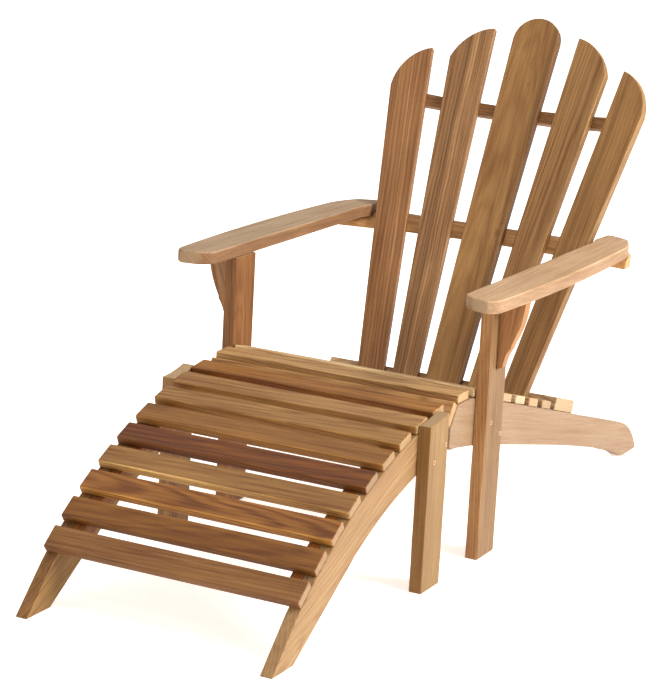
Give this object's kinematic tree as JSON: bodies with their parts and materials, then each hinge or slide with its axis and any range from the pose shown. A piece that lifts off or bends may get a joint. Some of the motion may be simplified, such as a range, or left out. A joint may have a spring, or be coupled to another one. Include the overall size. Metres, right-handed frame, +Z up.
{
  "type": "adirondack chair",
  "caption": "Low reclined slatted garden armchair with a fanned back, broad flat arms and a separate arched slatted footrest of the same wood.",
  "frame": {"origin": "middle of the footprint of chair and footrest together, on the floor", "axes": "+Z up, -Y the way the sitter faces, +X the sitter's left"},
  "size_m": [0.735, 1.7505, 0.9742],
  "materials": {
    "teak_slats": "fine sanded, oiled teak",
    "teak_frame": "fine sanded, oiled teak, paler boards",
    "teak_shaded": "fine sanded, oiled teak, darker boards",
    "teak_plugs": "cross-cut teak plugs"
  },
  "bodies": {
    "chair": {"arm_bracket_left": "teak_slats", "arm_bracket_right": "teak_slats", "arm_left": "teak_frame", "arm_rail": "teak_slats", "arm_right": "teak_frame", "back_base_board": "teak_slats", "back_slat_centre": "teak_slats", "back_slat_outer_left": "teak_slats", "back_slat_outer_right": "teak_slats", "back_slat_second_left": "teak_slats", "back_slat_second_right": "teak_slats", "back_upper_bar": "teak_shaded", "front_leg_left": "teak_frame", "front_leg_right": "teak_frame", "leg_plug_left_1": "teak_plugs", "leg_plug_left_2": "teak_plugs", "leg_plug_right_1": "teak_plugs", "leg_plug_right_2": "teak_plugs", "seat_slat_1": "teak_slats", "seat_slat_2": "teak_slats", "seat_slat_3": "teak_slats", "seat_slat_4": "teak_slats", "seat_slat_5": "teak_slats", "seat_slat_6": "teak_slats", "seat_slat_7": "teak_slats", "seat_slat_nose": "teak_slats", "side_rail_left": "teak_frame", "side_rail_right": "teak_frame"},
    "footrest": {"footrest_cleat_left": "teak_shaded", "footrest_cleat_right": "teak_shaded", "footrest_plug_left_1": "teak_plugs", "footrest_plug_left_2": "teak_plugs", "footrest_plug_right_1": "teak_plugs", "footrest_plug_right_2": "teak_plugs", "footrest_post_left": "teak_frame", "footrest_post_right": "teak_frame", "footrest_rail_left": "teak_frame", "footrest_rail_right": "teak_frame", "footrest_slat_01": "teak_slats", "footrest_slat_02": "teak_slats", "footrest_slat_03": "teak_slats", "footrest_slat_04": "teak_slats", "footrest_slat_05": "teak_slats", "footrest_slat_06": "teak_slats", "footrest_slat_07": "teak_slats", "footrest_slat_08": "teak_slats", "footrest_slat_09": "teak_slats"}
  },
  "joints": [
    {"name": "footrest_pull", "type": "slide", "parent": "chair", "child": "footrest", "axis": [0, -1, 0], "range_m": [0, 0.4]}
  ]
}
